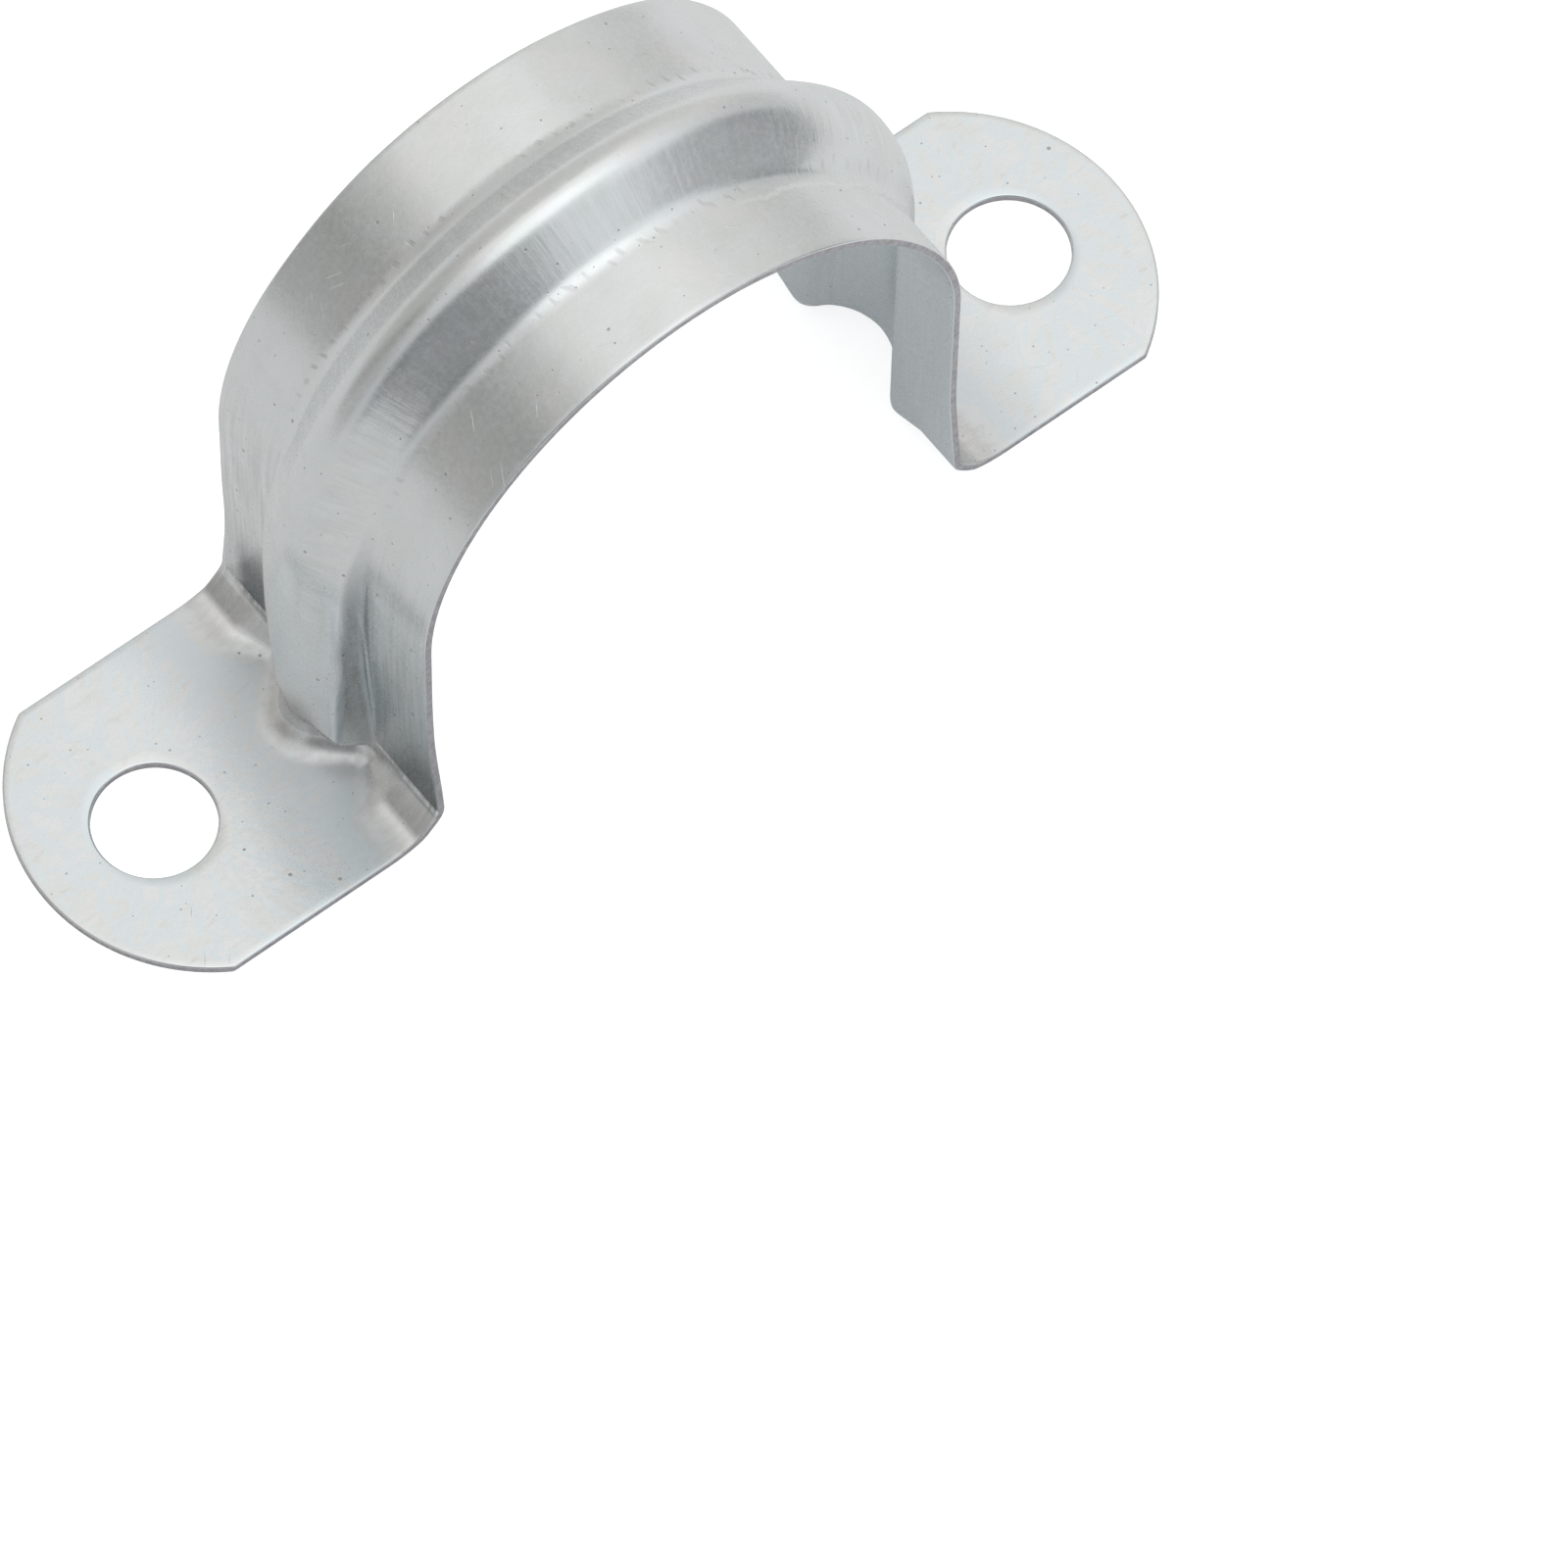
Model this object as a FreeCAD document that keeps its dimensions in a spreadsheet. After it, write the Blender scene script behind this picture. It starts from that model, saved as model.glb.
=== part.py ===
import FreeCAD, Part
import math
import os

import Sketcher
from FreeCAD import Vector

# One stamped strap of galvanised sheet: two flat feet, upright legs, a round arch
# and one raised rib pressed along the middle of the legs and the arch.
# Frame: +X runs from foot to foot, +Y across the strip, +Z up from the wall.
# Origin: centre of the underside of the two feet. Millimetres.

NODE = "conduit_strap"

SIZES = [
    ("sheet", 0.5),             # thickness of the sheet everywhere
    ("seat_radius", 16.8),      # inside radius of the arch, where the conduit sits
    ("seat_height", 18.4),      # height of the arch centre above the wall
    ("foot_width", 19.0),       # strip width at the feet
    ("arch_width", 17.75),      # strip width over the legs and the arch
    ("narrow_from", 0.6),       # height at which the strip starts to narrow
    ("narrow_to", 8.5),         # height at which it has its arch width
    ("overall_length", 71.6),   # tip to tip
    ("end_radius", 11.1),       # radius of the rounded foot ends
    ("corner_radius", 0.5),     # small rounding where the end arc meets the edge
    ("hole_spacing", 57.15),    # screw holes, centre to centre
    ("hole_size", 6.75),        # diameter of the screw holes
    ("bend_radius", 1.6),       # hollow radius of the bend from foot to leg
    ("rib_half_width", 4.1),    # middle of the rib to where it leaves the flat
    ("rib_height", 2.35),       # crest of the rib above the flat
    ("rib_root_radius", 1.75),  # hollow radius where the rib leaves the flat
    ("block_depth", 4.0),       # the forming blocks reach this far below the wall
    ("overlap", 1.0),           # how far the rib is sunk into the block under it
]

DERIVED = [
    ("foot_half", "foot_width / 2"),
    ("arch_half", "arch_width / 2"),
    ("beyond_y", "foot_width / 2 + 3"),
    ("beyond_x", "overall_length / 2 + 3"),
    ("beyond_z", "seat_height + seat_radius + sheet + rib_height + 3"),
    ("beyond_far", "overall_length"),
    ("outer_width", "foot_width + 2"),
    ("inner_width", "foot_width + 4"),
    ("rib_angle", "2 * atan(rib_height / rib_half_width)"),
    ("rib_crest_radius", "rib_half_width / sin(rib_angle) - rib_root_radius"),
    ("knee_rise", "rib_root_radius * (1 - cos(rib_angle))"),
    ("start_depth", "block_depth / 2"),
    # outer form: the surface seen from above
    ("outer_flat", "seat_radius + sheet"),
    ("outer_foot", "sheet"),
    ("outer_top", "seat_height + outer_flat"),
    ("outer_inside", "outer_flat - overlap"),
    ("outer_root", "rib_root_radius"),
    ("outer_crest", "rib_crest_radius"),
    ("outer_bend", "bend_radius"),
    ("outer_knee_x", "outer_flat + knee_rise"),
    ("outer_knee_y", "rib_half_width - rib_root_radius * sin(rib_angle)"),
    # inner form: the same surface, one sheet thickness further in
    ("inner_flat", "seat_radius"),
    ("inner_top", "seat_height + inner_flat"),
    ("inner_inside", "inner_flat - overlap"),
    ("inner_root", "rib_root_radius + sheet"),
    ("inner_crest", "rib_crest_radius - sheet"),
    ("inner_bend", "bend_radius + sheet"),
    ("inner_knee_x", "inner_flat + inner_root * (1 - cos(rib_angle))"),
    ("inner_knee_y", "rib_half_width - inner_root * sin(rib_angle)"),
    # rounded foot ends
    ("end_centre", "overall_length / 2 - end_radius"),
    ("corner_y", "foot_half - corner_radius"),
    ("corner_x", "end_centre + sqrt((end_radius - corner_radius)^2 - corner_y^2)"),
    ("tip_grow", "end_radius / (end_radius - corner_radius)"),
    ("tip_x", "end_centre + (corner_x - end_centre) * tip_grow"),
    ("tip_y", "corner_y * tip_grow"),
    # the S curve by which the strip narrows
    ("neck_step", "foot_half - arch_half"),
    ("neck_rise", "narrow_to - narrow_from"),
    ("neck_radius", "(neck_rise^2 + neck_step^2) / (4 * neck_step)"),
    ("neck_mid_y", "(foot_half + arch_half) / 2"),
    ("neck_mid_z", "(narrow_from + narrow_to) / 2"),
    ("hole_place", "hole_spacing / 2"),
]

doc = FreeCAD.newDocument("strap")
sizes = doc.addObject("Spreadsheet::Sheet", "Sizes")


def fill_sheet():
    rows = [(name, "%r" % value) for name, value in SIZES]
    rows += [(name, "=" + formula) for name, formula in DERIVED]
    for row, (name, content) in enumerate(rows, start=1):
        sizes.set("A%d" % row, name)
        sizes.set("B%d" % row, content)
        sizes.setAlias("B%d" % row, name)
    doc.recompute()


def number(term):
    """Present value of a cell, with a leading minus allowed, or of a plain number."""
    if term == "0":
        return 0.0
    value = sizes.get(term.lstrip("-"))
    value = float(getattr(value, "Value", value))
    return -value if term.startswith("-") else value


def expression(term):
    if term == "0":
        return "0"
    sign = "-" if term.startswith("-") else ""
    return sign + "Sizes." + term.lstrip("-")


def origin_item(body, role):
    return next(o for o in body.Origin.OriginFeatures if o.Role == role)


def sketch_on(body, name, plane):
    sk = body.newObject("Sketcher::SketchObject", name)
    sk.AttachmentSupport = [(origin_item(body, plane), "")]
    sk.MapMode = "FlatFace"
    return sk


def fix_point(sk, piece, end, point):
    """Tie one end of a sketch piece to two cells; a nought ties it to the axis."""
    for kind, term, axis in (("DistanceX", point[0], -2), ("DistanceY", point[1], -1)):
        if term == "0":
            sk.addConstraint(Sketcher.Constraint("PointOnObject", piece, end, axis))
            continue
        index = sk.addConstraint(Sketcher.Constraint(kind, -1, 1, piece, end, number(term)))
        sk.setExpression("Constraints[%d]" % index, expression(term))


def arc_between(p, q, radius, clockwise):
    """Short arc from p to q; also says whether the arc's own start lies at q."""
    mid = (p + q) * 0.5
    half = p.distanceToPoint(q) / 2
    side = Vector(-(q.y - p.y), q.x - p.x, 0).normalize()
    if clockwise:
        side = side * -1
    centre = mid + side * math.sqrt(max(radius ** 2 - half ** 2, 0.0))
    first, last = (q, p) if clockwise else (p, q)
    a = math.atan2(first.y - centre.y, first.x - centre.x)
    b = math.atan2(last.y - centre.y, last.x - centre.x)
    if b < a:
        b += 2 * math.pi
    circle = Part.Circle(centre, Vector(0, 0, 1), radius)
    return Part.ArcOfCircle(circle, a, b)


def outline(sk, points, arcs, closed=True):
    """Chain of lines and arcs. arcs maps a piece's number to (radius cell, clockwise)."""
    count = len(points) if closed else len(points) - 1
    base = sk.GeometryCount
    spots = [Vector(number(x), number(y), 0) for x, y in points]
    heads = []
    for i in range(count):
        p, q = spots[i], spots[(i + 1) % len(spots)]
        if i in arcs:
            radius, clockwise = arcs[i]
            sk.addGeometry(arc_between(p, q, number(radius), clockwise), False)
            heads.append(2 if clockwise else 1)
        else:
            sk.addGeometry(Part.LineSegment(p, q), False)
            heads.append(1)
    for i in range(count if closed else count - 1):
        j = (i + 1) % count
        tail = 3 - heads[i]
        sk.addConstraint(Sketcher.Constraint("Coincident", base + i, tail, base + j, heads[j]))
    for i in range(count):
        fix_point(sk, base + i, heads[i], points[i])
    if not closed:
        fix_point(sk, base + count - 1, 3 - heads[-1], points[-1])
    for i, (radius, _) in arcs.items():
        index = sk.addConstraint(Sketcher.Constraint("Radius", base + i, number(radius)))
        sk.setExpression("Constraints[%d]" % index, expression(radius))


def bind(feature, prop, term):
    feature.setExpression(prop, expression(term))


def form(name, side, width):
    """Solid block whose skin is one face of the sheet: feet, legs, arch, rib and bends."""
    flat, foot = side + "_flat", side + "_foot"
    body = doc.addObject("PartDesign::Body", name)

    block_sk = sketch_on(body, name + "_profile", "XZ_Plane")
    level = "0" if side == "inner" else foot
    outline(block_sk, [
        ("-beyond_x", "-block_depth"), ("-beyond_x", level), ("-" + flat, level),
        ("-" + flat, "seat_height"), ("0", side + "_top"), (flat, "seat_height"),
        (flat, level), ("beyond_x", level), ("beyond_x", "-block_depth"),
    ], {3: (flat, True), 4: (flat, True)})
    block = body.newObject("PartDesign::Pad", name + "_block")
    block.Profile = block_sk
    block.SideType = "Symmetric"
    bind(block, "Length", width)
    doc.recompute()

    path = sketch_on(body, name + "_rib_path", "XZ_Plane")
    outline(path, [
        ("-" + flat, "-start_depth"), ("-" + flat, "seat_height"), ("0", side + "_top"),
        (flat, "seat_height"), (flat, "-start_depth"),
    ], {1: (flat, True), 2: (flat, True)}, closed=False)

    section = sketch_on(body, name + "_rib_section", "XY_Plane")
    section.setExpression("AttachmentOffset.Base.z", "-Sizes.start_depth")
    knee = "-" + side + "_knee_x"
    knee_y = side + "_knee_y"
    outline(section, [
        ("-" + side + "_inside", "-rib_half_width"), ("-" + flat, "-rib_half_width"),
        (knee, "-" + knee_y), (knee, knee_y),
        ("-" + flat, "rib_half_width"), ("-" + side + "_inside", "rib_half_width"),
    ], {1: (side + "_root", False), 2: (side + "_crest", True), 3: (side + "_root", False)})
    rib = body.newObject("PartDesign::AdditivePipe", name + "_rib")
    rib.Profile = section
    rib.Spine = path
    doc.recompute()

    bend = body.newObject("PartDesign::Fillet", name + "_bends")
    bend.Base = (rib, foot_edges(rib.Shape, number(flat), number(level)))
    bind(bend, "Radius", side + "_bend")
    doc.recompute()
    return body


def foot_edges(shape, flat, level):
    """Names of the edges where the legs and the rib stand on the top of the feet."""
    names = []
    reach = flat + number("rib_height")
    for i, edge in enumerate(shape.Edges, start=1):
        box = edge.BoundBox
        lies = abs(box.ZMin - level) < 1e-4 and abs(box.ZMax - level) < 1e-4
        near = min(abs(box.XMin), abs(box.XMax))
        far = max(abs(box.XMin), abs(box.XMax))
        if lies and near > flat - 1e-3 and far < reach + 1e-3:
            names.append("Edge%d" % i)
    return names


def cut_through(body, name, sketch):
    pocket = body.newObject("PartDesign::Pocket", name)
    pocket.Profile = sketch
    pocket.Type = "Length"
    pocket.SideType = "Symmetric"
    pocket.Length = 200
    doc.recompute()
    return pocket


def trim_ends(body):
    """Cut the blank to its straight edges and rounded ends."""
    sk = sketch_on(body, "blank_outline", "XY_Plane")
    outline(sk, [
        ("-beyond_far", "-beyond_far"), ("beyond_far", "-beyond_far"),
        ("beyond_far", "beyond_far"), ("-beyond_far", "beyond_far"),
    ], {})
    outline(sk, [
        ("-corner_x", "-foot_half"), ("corner_x", "-foot_half"), ("tip_x", "-tip_y"),
        ("tip_x", "tip_y"), ("corner_x", "foot_half"), ("-corner_x", "foot_half"),
        ("-tip_x", "tip_y"), ("-tip_x", "-tip_y"),
    ], {
        1: ("corner_radius", False), 2: ("end_radius", False), 3: ("corner_radius", False),
        5: ("corner_radius", False), 6: ("end_radius", False), 7: ("corner_radius", False),
    })
    cut_through(body, "blank", sk)


def narrow_legs(body):
    """Draw the strip in from its foot width to its arch width up the legs."""
    sk = sketch_on(body, "narrowing", "YZ_Plane")
    for sign, turn in (("", False), ("-", True)):
        outline(sk, [
            (sign + "foot_half", "narrow_from"), (sign + "neck_mid_y", "neck_mid_z"),
            (sign + "arch_half", "narrow_to"), (sign + "arch_half", "beyond_z"),
            (sign + "beyond_y", "beyond_z"), (sign + "beyond_y", "narrow_from"),
        ], {0: ("neck_radius", turn), 1: ("neck_radius", not turn)})
    cut_through(body, "narrowed", sk)


def punch_holes(body):
    sk = sketch_on(body, "screw_holes", "XY_Plane")
    for place in ("-hole_place", "hole_place"):
        spot = Vector(number(place), 0, 0)
        circle = sk.addGeometry(Part.Circle(spot, Vector(0, 0, 1), number("hole_size") / 2), False)
        fix_point(sk, circle, 3, (place, "0"))
        index = sk.addConstraint(Sketcher.Constraint("Diameter", circle, number("hole_size")))
        sk.setExpression("Constraints[%d]" % index, "Sizes.hole_size")
    cut_through(body, "holes", sk)


def check_all():
    for obj in doc.Objects:
        if "Invalid" in obj.State or "Error" in obj.State:
            raise RuntimeError("%s is %s" % (obj.Name, obj.State))
        shape = getattr(obj, "Shape", None)
        if shape is not None and obj.TypeId.startswith("PartDesign::"):
            if shape.isNull() or not shape.isValid():
                raise RuntimeError("%s has a bad shape" % obj.Name)


def main():
    fill_sheet()
    strap = form("outer", "outer", "outer_width")
    inner = form("inner", "inner", "inner_width")
    cut = strap.newObject("PartDesign::Boolean", "sheet_skin")
    cut.Type = "Cut"
    cut.addObjects([inner])
    doc.recompute()
    trim_ends(strap)
    narrow_legs(strap)
    punch_holes(strap)
    strap.Label = NODE
    doc.recompute()
    check_all()
    solid = strap.Shape
    print("solids", len(solid.Solids), "faces", len(solid.Faces), "volume", round(solid.Volume, 2))
    print("box", solid.BoundBox)
    os.makedirs("parts", exist_ok=True)
    solid.exportStep("parts/%s.step" % NODE)


main()
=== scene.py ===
import math

import bpy
import numpy as np
from mathutils import Matrix, Vector


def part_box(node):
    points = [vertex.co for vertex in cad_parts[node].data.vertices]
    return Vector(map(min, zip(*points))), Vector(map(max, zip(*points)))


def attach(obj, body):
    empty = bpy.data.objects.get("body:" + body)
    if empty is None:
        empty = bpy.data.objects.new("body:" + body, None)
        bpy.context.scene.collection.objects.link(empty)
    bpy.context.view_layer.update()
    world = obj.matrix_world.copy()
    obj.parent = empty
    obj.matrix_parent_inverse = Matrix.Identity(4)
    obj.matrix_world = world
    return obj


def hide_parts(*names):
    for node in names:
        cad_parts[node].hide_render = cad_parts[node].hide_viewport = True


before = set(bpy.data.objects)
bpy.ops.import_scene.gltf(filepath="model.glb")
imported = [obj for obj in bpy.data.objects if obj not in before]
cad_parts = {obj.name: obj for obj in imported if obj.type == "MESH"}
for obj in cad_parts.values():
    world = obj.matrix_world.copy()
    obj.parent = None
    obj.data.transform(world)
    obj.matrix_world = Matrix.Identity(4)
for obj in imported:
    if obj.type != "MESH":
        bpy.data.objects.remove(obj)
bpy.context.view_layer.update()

# The strap's geometry is worked out in millimetres and put into the mesh in metres.
MM = 0.001
NODE = "conduit_strap"
low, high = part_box(NODE)
QUARTER = math.pi / 2.0

# ---------------------------------------------------------------- sizes of the strap
SHEET = 0.5                      # thickness of the sheet
SEAT_RADIUS = 16.8               # inside radius of the arch
RIB_HEIGHT = 2.35                # crest of the rib above the flat
RIB_HALF = 4.1                   # middle of the rib to where it leaves the flat
RIB_GENTLE = (1.9, 41.0)         # hollow radius at the rib's foot, steepest slope in degrees
RIB_FULL = (0.80, 58.0)          # the same past the crown, where the rib is fuller
END_RADIUS = 11.1                # rounded foot ends
END_CORNER = 0.5                 # small rounding where the end arc meets the edge
HOLE_X = 28.575                  # screw hole from the middle
HOLE_RADIUS = 3.375
ARCH_HALF = 8.875                # half the strip width over the arch
FOOT_HALF = high.y / MM          # half the strip width at the feet
TIP_X = high.x / MM
OUTER = SEAT_RADIUS + SHEET
ARCH_Z = high.z / MM - OUTER - RIB_HEIGHT      # height of the arch centre
# reach of the bend along the foot, at places across the strip from the middle
BEND_REACH = ((0.0, 1.5, 3.0, 4.2, 6.5), (1.7, 1.6, 1.3, 1.3, 3.2))
BEND_AT_EDGE = BEND_REACH[1][-1]
BEND_CREASED = (3.0, 4.2)        # from the middle: round up to the first, creased past the second
NARROWS = (4.0, 13.0)            # along the strip, from the foot's end of the bend
STRIP_END = 22.4                 # where the gridded strip hands over to the flat foot
ROLLOVER = 0.13                  # rounding of the punched side of every cut edge
BURR = 0.05                      # rounding of the other side

# the rib's sharp section on the legs, by the height above the bend
SHARP_STARTS = (0.05, 0.75)
SHARP_ENDS = (14.5, 22.5)
KNEE_LOWER = (9.0, 0.0)
KNEE_LATE = (10.0, 20.0)
FLANK_TILT = 66.0                # degrees

# this strap's own unevenness; +X is the far leg, and -Y the front
REAR_EXTRA = 0.45                # the rear edge stands this much further out past the crown
FAR_WIDER = 1.10                 # width of the rib on the far leg, against the near one's
FAR_OUT = 0.48                   # the far leg and its shoulder stand this much further out
FAR_OUT_TOP = 0.62               # share of the arch's rise at which that begins
FAR_RIB_ASIDE = 0.30             # the rib runs this much nearer to the front on that shoulder
NEAR_IN = 0.20                   # the near leg leans in by this much at its foot
NEAR_LEANS = (14.0, 3.0)         # heights between which it does

# the mesh
COLUMNS = 97
FOOT_ROWS, BEND_ROWS, LEG_ROWS, ARCH_ROWS = 9, 16, 34, 84
RINGS = 12                       # round each hole
CROWDING = 1.15                  # power that crowds rows to the bend, and rings to the outline


def smooth(q):
    q = np.clip(q, 0.0, 1.0)
    return q * q * (3.0 - 2.0 * q)


def fade(value, start, end):
    """0 at start and 1 at end, which may be the lower of the two."""
    return smooth((value - start) / (end - start))


def running_sum(values):
    """Sum of the means of neighbours, from 0."""
    return np.concatenate([[0.0], np.cumsum(0.5 * (values[1:] + values[:-1]))])


# ---------------------------------------------------------------- sections of the rib
PROFILE_V, PROFILE_STEP = np.linspace(0.0, 6.0, 1201, retstep=True)


def round_profile(root_radius, steepest):
    """Rib over the arch: crest arc, straight flank, hollow arc; height and slope."""
    angle = math.radians(steepest)
    sine, turned = math.sin(angle), 1.0 - math.cos(angle)
    # both arcs and the flank together make up the rib's height and half width
    flank = (RIB_HEIGHT * sine - RIB_HALF * turned) / (sine ** 2 - turned * math.cos(angle))
    crest_radius = (RIB_HEIGHT - flank * sine) / turned - root_radius
    v = PROFILE_V
    shoulder = crest_radius * sine
    knee = RIB_HALF - root_radius * sine
    root = np.sqrt(np.maximum(root_radius ** 2 - (v - RIB_HALF) ** 2, 1e-9))
    crest = np.sqrt(np.maximum(crest_radius ** 2 - v ** 2, 1e-9))
    steep = math.tan(angle)
    height = np.where(v >= RIB_HALF, 0.0, np.where(
        v > knee, root_radius - root, np.where(
            v > shoulder, root_radius * turned + (knee - v) * steep,
            RIB_HEIGHT - crest_radius + crest)))
    slope = np.where(v >= RIB_HALF, 0.0, np.where(
        v > knee, (v - RIB_HALF) / root, np.where(v > shoulder, -steep, -v / crest)))
    return height, slope


def pressed_profile(knee, end, late):
    """Height of the rib as it is on the legs: a broad crest, a knee, a steep flank and a
    tight root. late is 0 on the leg and 1 where the knee fades out on the arch."""
    crest = 14.0 + 22.0 * late
    tilt = np.interp(PROFILE_V, [0.0, 0.9 * knee, knee, knee + 0.15, end - 0.4, end],
                     [0.0, crest, crest + 10.0, FLANK_TILT, FLANK_TILT, 0.0])
    fall = running_sum(np.tan(np.radians(tilt))) * PROFILE_STEP
    return RIB_HEIGHT * (1.0 - fall / fall[-1])


GENTLE, GENTLE_SLOPE = round_profile(*RIB_GENTLE)
FULL = round_profile(*RIB_FULL)[0]


def rib(v, pressed, rise, fuller):
    """Height of the rib above the flat, at v across the strip and rise mm up from the bend.
    pressed: how far it has the sharp knees of the legs; fuller: how far it has the full
    section."""
    late = fade(rise, *KNEE_LATE)
    lower = fade(rise, *KNEE_LOWER)
    front = pressed_profile(2.95 + 0.25 * lower + 0.4 * late,
                            3.5 + 0.65 * lower + 0.6 * late, late)
    rear = pressed_profile(2.5 - 0.8 * lower + 1.0 * late,
                           3.7 - 0.3 * lower + 0.4 * late, late)
    a = np.abs(v) / (1.0 + (FAR_WIDER - 1.0) * fuller)
    plain = ((1.0 - fuller) * np.interp(a, PROFILE_V, GENTLE)
             + fuller * np.interp(a, PROFILE_V, FULL))
    sharp = np.where(v < 0.0, np.interp(a, PROFILE_V, front), np.interp(a, PROFILE_V, rear))
    return (1.0 - pressed) * plain + pressed * sharp


def bend_curve():
    """Section of the bend from the foot (0) to the leg (1): what is left to go, and the rise,
    as shares of its reach. It leaves the foot slowly, turns quickly half way and once more
    at the leg."""
    share = np.linspace(0.0, 1.0, 401)
    turn = np.radians(np.interp(share, [0.0, 0.25, 0.45, 0.55, 0.85, 1.0],
                                [0.0, 10.0, 18.0, 42.0, 52.0, 90.0]))
    run, rise = running_sum(np.cos(turn)), running_sum(np.sin(turn))
    return share, 1.0 - run / run[-1], rise / run[-1]


BEND_SHARE, BEND_LEFT, BEND_RISE = bend_curve()
BEND_LENGTH = BEND_AT_EDGE * QUARTER
LEG_LENGTH = ARCH_Z - SHEET - BEND_AT_EDGE * BEND_RISE[-1]


# ---------------------------------------------------------------- the strip as a grid
def half_width(along):
    """Half the strip width; along is 0 at the foot's end of the bend."""
    return FOOT_HALF - (FOOT_HALF - ARCH_HALF) * fade(along, *NARROWS)


def spread(count):
    """Places across the strip from -1 to 1, closer together round the rib's roots."""
    fine = np.linspace(-1.0, 1.0, 2001)
    total = running_sum(1.0 + 1.2 * np.exp(-((np.abs(fine) - 0.40) / 0.12) ** 2))
    return np.interp(np.linspace(0.0, total[-1], count), total, fine)


ACROSS = spread(COLUMNS)


def stations():
    """Rows of half the strip in order: the part each is in, and its share of that part."""
    for part, rows in (("foot", FOOT_ROWS), ("bend", BEND_ROWS), ("leg", LEG_ROWS)):
        for k in range(rows):
            yield part, k / rows
    for k in range(ARCH_ROWS + 1):
        yield "arch", k / ARCH_ROWS


def half_strip(pressed_most, far):
    """Outer skin from one foot to the crown, drawn on the -X side: positions, and (along, v)
    for each. far is 1 for the half that is turned over to +X."""
    places, marks = [], []
    for part, q in stations():
        along = {"foot": -(STRIP_END - OUTER - BEND_AT_EDGE) * (1.0 - q),
                 "bend": BEND_LENGTH * q,
                 "leg": BEND_LENGTH + LEG_LENGTH * q,
                 "arch": BEND_LENGTH + LEG_LENGTH + OUTER * QUARTER * q}[part]
        rise = {"foot": 0.0, "bend": 0.0, "leg": LEG_LENGTH * q,
                "arch": LEG_LENGTH + OUTER * QUARTER * q}[part]
        turn = q * QUARTER
        climb = math.sin(turn) if part == "arch" else 0.0      # 0 on the legs, 1 at the crown
        away = 0.3 + (0.7 if far else -0.3) * smooth(3.0 * (1.0 - climb))
        extra = REAR_EXTRA * away * smooth(3.0 * climb)
        v = ACROSS * (half_width(along) - ROLLOVER + np.where(ACROSS > 0.0, extra, 0.0))
        fuller = far * np.where(v < 0.0, smooth(2.2 * (1.0 - climb)),
                                smooth(1.6 * (1.0 - climb) - 0.5))
        pressed = (pressed_most * fade(rise, *SHARP_STARTS)
                   * (1.0 - fade(rise, *SHARP_ENDS)))
        shoulder = far * smooth(4.0 * climb) * smooth(2.5 * (1.0 - climb))
        height = rib(v + FAR_RIB_ASIDE * shoulder, pressed, rise, fuller)
        wall = -(OUTER + height)
        bend = np.interp(np.abs(v), *BEND_REACH)
        crease = fade(np.abs(v), *BEND_CREASED)
        # the bend is set off along the gentle section's normal, so that it doesn't fold
        slope = np.interp(np.abs(v), PROFILE_V, GENTLE_SLOPE) * np.sign(v)
        size = np.sqrt(1.0 + slope ** 2)
        off_x, off_y = -bend / size, -bend * slope / size
        if part == "foot":
            x = -STRIP_END + (wall + off_x + STRIP_END) * q
            y = v + off_y * q
            z = np.full_like(v, SHEET)
            aside = (-FAR_OUT if far else NEAR_IN) * q
        elif part == "bend":
            left = (crease * np.interp(q, BEND_SHARE, BEND_LEFT)
                    + (1.0 - crease) * (1.0 - math.sin(turn)))
            up = (crease * np.interp(q, BEND_SHARE, BEND_RISE)
                  + (1.0 - crease) * (1.0 - math.cos(turn)))
            x, y = wall + off_x * left, v + off_y * left
            z = SHEET + bend * up
        elif part == "leg":
            x, y = wall, v
            start = SHEET + bend * (crease * BEND_RISE[-1] + 1.0 - crease)
            z = start + (ARCH_Z - start) * q ** CROWDING
        else:
            x, y = wall * math.cos(turn), v
            z = ARCH_Z - wall * climb
            aside = -far * FAR_OUT * smooth(1.0 - climb / FAR_OUT_TOP)
        if part in ("bend", "leg"):
            aside = -FAR_OUT if far else NEAR_IN * fade(z, *NEAR_LEANS)
        places.append(np.stack([x + aside, y, z], -1))
        marks.append(np.stack([np.full_like(v, along), v], -1))
    return np.array(places), np.array(marks)


def whole_strip(pressed_most):
    """Both halves as one grid of rows, from the -X foot to the +X foot."""
    left, left_marks = half_strip(pressed_most, 0)
    right, right_marks = (part[:-1][::-1].copy() for part in half_strip(pressed_most, 1))
    right[..., 0] *= -1.0
    right_marks[..., 0] = 2.0 * left_marks[-1, 0, 0] - right_marks[..., 0]
    return np.concatenate([left, right]), np.concatenate([left_marks, right_marks])


def grid_normals(grid):
    normal = np.cross(np.gradient(grid, axis=0), np.gradient(grid, axis=1))
    normal /= np.linalg.norm(normal, axis=-1, keepdims=True)
    normal[0] = normal[-1] = (0.0, 0.0, 1.0)
    return normal


class Sheet:
    """Vertices of the sheet, each with an outer and an inner place, and the quads between."""

    def __init__(self):
        self.outer, self.inner, self.normal, self.mark, self.quads = [], [], [], [], []

    def add(self, outer, inner, normal, mark):
        first = len(self.outer)
        self.outer.extend(outer.reshape(-1, 3))
        self.inner.extend(inner.reshape(-1, 3))
        self.normal.extend(normal.reshape(-1, 3))
        self.mark.extend(mark.reshape(-1, 2))
        return first


sheet = Sheet()
strip, strip_marks = whole_strip(1.0)
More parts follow.
